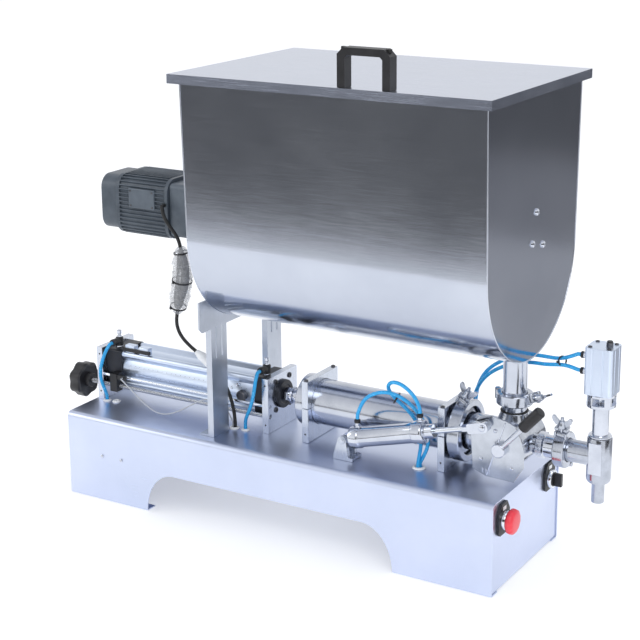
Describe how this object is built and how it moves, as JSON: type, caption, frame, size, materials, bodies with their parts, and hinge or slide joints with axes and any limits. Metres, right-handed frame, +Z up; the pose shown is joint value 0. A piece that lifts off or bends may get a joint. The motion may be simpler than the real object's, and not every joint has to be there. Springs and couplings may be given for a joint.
{
  "type": "piston liquid filler",
  "caption": "Bench-top pneumatic piston filler with a horizontal U-shaped mixing hopper, rotary valve, outlet pipe, filling nozzle and stroke handwheel on a sheet-metal base.",
  "frame": {"origin": "centre of the bounding box in plan, on the bench surface", "axes": "+X along the filling line towards the nozzle, +Y to the back, +Z up"},
  "size_m": [0.9972, 0.364, 0.8235],
  "materials": {
    "brushed_stainless": "brushed or bead-blasted stainless sheet and plate",
    "polished_stainless": "polished stainless",
    "anodised_aluminium": "clear anodised, extruded",
    "black_anodised": "black anodised",
    "black_plastic": "moulded, satin",
    "white_plastic": "moulded, satin",
    "red_plastic": "moulded, glossy",
    "motor_paint": "grey-blue machine paint",
    "blue_hose": "translucent polyurethane hose",
    "grey_wire": "wire sheath",
    "seal_rubber": "piston seal"
  },
  "bodies": {
    "machine": {"base_housing": "brushed_stainless", "end_panel_left": "brushed_stainless", "end_panel_right": "brushed_stainless", "grommets_left": "white_plastic", "grommets_middle": "white_plastic", "grommet_actuator": "white_plastic", "grommet_nozzle": "white_plastic", "estop_plate": "black_plastic", "selector_plate": "black_plastic", "air_valve_block": "anodised_aluminium", "cylinder_rear_plate": "brushed_stainless", "cylinder_front_plate": "brushed_stainless", "air_rear_cap": "black_anodised", "air_front_cap": "black_anodised", "air_barrel": "anodised_aluminium", "guide_rod": "polished_stainless", "rear_clamp_lower": "brushed_stainless", "rear_clamp_upper": "brushed_stainless", "front_clamp_lower": "brushed_stainless", "front_clamp_upper": "brushed_stainless", "material_cylinder": "polished_stainless", "cylinder_clamp": "polished_stainless", "valve_body": "brushed_stainless", "hopper_clamp": "polished_stainless", "outlet_pipe": "polished_stainless", "outlet_clamp": "polished_stainless", "actuator_foot": "brushed_stainless", "nozzle_body": "polished_stainless", "nozzle_stem": "polished_stainless", "nozzle_cylinder": "anodised_aluminium", "hopper_shell": "brushed_stainless", "hopper_stand": "brushed_stainless", "mixer_gearbox": "motor_paint", "mixer_motor": "motor_paint", "motor_fan_cover": "motor_paint", "hose_air_rear": "blue_hose", "hose_air_front": "blue_hose", "hose_actuator_rear": "blue_hose", "hose_actuator_front": "blue_hose", "hose_nozzle_upper": "blue_hose", "hose_nozzle_lower": "blue_hose", "sensor_wire": "grey_wire", "motor_cable": "black_plastic"},
    "piston": {"air_piston_rod": "polished_stainless", "material_piston": "polished_stainless", "piston_seal": "seal_rubber"},
    "stroke_setting": {"handwheel": "black_plastic", "stroke_screw": "polished_stainless"},
    "carriage": {"sensor_carriage": "black_plastic"},
    "mixer": {"mixer_shaft": "polished_stainless"},
    "valve": {"valve_rotor": "polished_stainless", "crank_plate": "brushed_stainless", "lever_grip": "black_plastic"},
    "actuator_housing": {"actuator_barrel": "polished_stainless"},
    "actuator_piston": {"actuator_rod": "polished_stainless"},
    "nozzle_valve": {"nozzle_plunger": "polished_stainless"},
    "estop": {"estop_button": "red_plastic"},
    "selector": {"selector_knob": "black_plastic"},
    "lid": {"hopper_lid": "brushed_stainless", "lid_handle": "black_plastic"}
  },
  "joints": [
    {"name": "piston_stroke", "type": "slide", "parent": "machine", "child": "piston", "axis": [1, 0, 0], "range_m": [0, 0.2]},
    {"name": "handwheel_turn", "type": "hinge", "parent": "machine", "child": "stroke_setting", "pos_m": [-0.4965, -0.0385, 0.179], "axis": [1, 0, 0], "range_deg": [0, 7200]},
    {"name": "carriage_travel", "type": "slide", "parent": "machine", "child": "carriage", "axis": [1, 0, 0], "range_m": [0, 0.2]},
    {"name": "mixer_spin", "type": "hinge", "parent": "machine", "child": "mixer", "pos_m": [-0.0465, 0, 0.512], "axis": [1, 0, 0], "continuous": true},
    {"name": "valve_turn", "type": "hinge", "parent": "machine", "child": "valve", "pos_m": [0.336, 0, 0.209], "axis": [0, 1, 0], "range_deg": [0, 90]},
    {"name": "actuator_swivel", "type": "hinge", "parent": "machine", "child": "actuator_housing", "pos_m": [0.0745, -0.068, 0.183], "axis": [0, 1, 0], "range_deg": [0, 6.2]},
    {"name": "actuator_stroke", "type": "slide", "parent": "actuator_housing", "child": "actuator_piston", "axis": [0.9663, 0, 0.2573], "range_m": [0, 0.0535]},
    {"name": "nozzle_lift", "type": "slide", "parent": "machine", "child": "nozzle_valve", "axis": [0, 0, 1], "range_m": [0, 0.018]},
    {"name": "estop_press", "type": "slide", "parent": "machine", "child": "estop", "axis": [-1, 0, 0], "range_m": [0, 0.004]},
    {"name": "selector_turn", "type": "hinge", "parent": "machine", "child": "selector", "pos_m": [0.359, 0.085, 0.118], "axis": [1, 0, 0], "range_deg": [-45, 45]},
    {"name": "lid_lift", "type": "slide", "parent": "machine", "child": "lid", "axis": [0, 0, 1], "range_m": [0, 0.1]}
  ],
  "couplings": [
    {"joint": "carriage_travel", "follows": "handwheel_turn", "m_per_rad": 0.0015915},
    {"joint": "actuator_swivel", "follows": "valve_turn", "ratio": 0.0687},
    {"joint": "actuator_stroke", "follows": "valve_turn", "m_per_rad": 0.033995}
  ]
}
